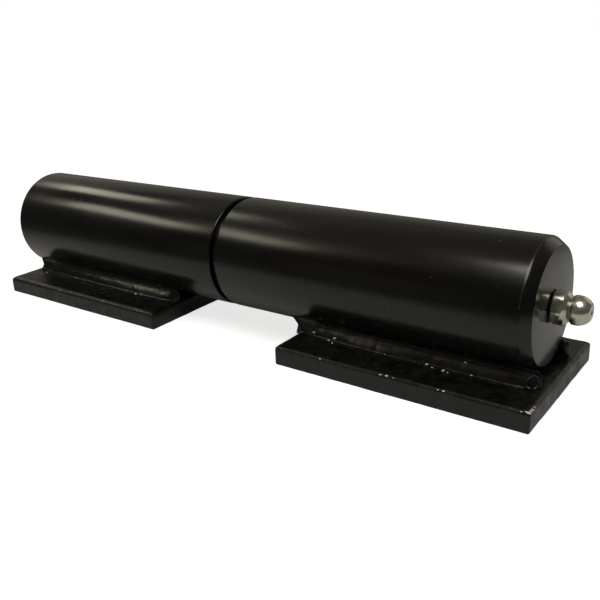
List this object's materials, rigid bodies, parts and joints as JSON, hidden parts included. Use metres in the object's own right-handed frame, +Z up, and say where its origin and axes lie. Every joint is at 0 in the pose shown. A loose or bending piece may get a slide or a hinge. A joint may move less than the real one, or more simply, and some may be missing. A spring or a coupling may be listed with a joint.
{
  "type": "greasable weld-on barrel hinge",
  "caption": "Weld-on barrel hinge: a pinned barrel and a turning, lift-off barrel, each welded to a flat plate, with a grease nipple in the closed end.",
  "frame": {"origin": "middle of the whole length, under the hinge axis, at the undersides of the two plates", "axes": "+X along the hinge axis towards the nipple, +Y to the back, +Z up from the plates to the barrels"},
  "size_m": [0.178, 0.041, 0.0353],
  "materials": {
    "black_paint": "gloss",
    "weld_paint": "gloss, rough ripples",
    "pin_steel": "ground",
    "bronze": "satin",
    "ball_steel": "polished",
    "nipple_zinc": "bright zinc plate",
    "spring_steel": "drawn wire"
  },
  "bodies": {
    "pin_leaf": {"pin_barrel": "black_paint", "hinge_pin": "pin_steel", "pin_plate": "black_paint", "pin_plate_front_weld": "weld_paint", "pin_plate_back_weld": "weld_paint"},
    "ring": {"gap_ring": "pin_steel"},
    "ball": {"thrust_ball": "ball_steel"},
    "socket_leaf": {"socket_barrel": "black_paint", "mouth_bush": "bronze", "base_bush": "bronze", "socket_plate": "black_paint", "socket_plate_front_weld": "weld_paint", "socket_plate_back_weld": "weld_paint", "nipple_body": "nipple_zinc", "nipple_spring": "spring_steel"},
    "check_ball": {"nipple_check_ball": "ball_steel"}
  },
  "joints": [
    {"name": "lift_off", "type": "slide", "parent": "pin_leaf", "child": "ball", "axis": [1, 0, 0], "range_m": [0, 0.075]},
    {"name": "leaf_turn", "type": "hinge", "parent": "ball", "child": "socket_leaf", "pos_m": [-0.00485, 0, 0.0203], "axis": [1, 0, 0], "continuous": true},
    {"name": "ring_turn", "type": "hinge", "parent": "pin_leaf", "child": "ring", "pos_m": [-0.00485, 0, 0.0203], "axis": [1, 0, 0], "continuous": true},
    {"name": "check_ball_slide", "type": "slide", "parent": "socket_leaf", "child": "check_ball", "axis": [-1, 0, 0], "range_m": [0, 0.0008], "stiffness_N_per_m": 600, "springref_m": -0.001, "deforming": ["nipple_spring"]}
  ]
}
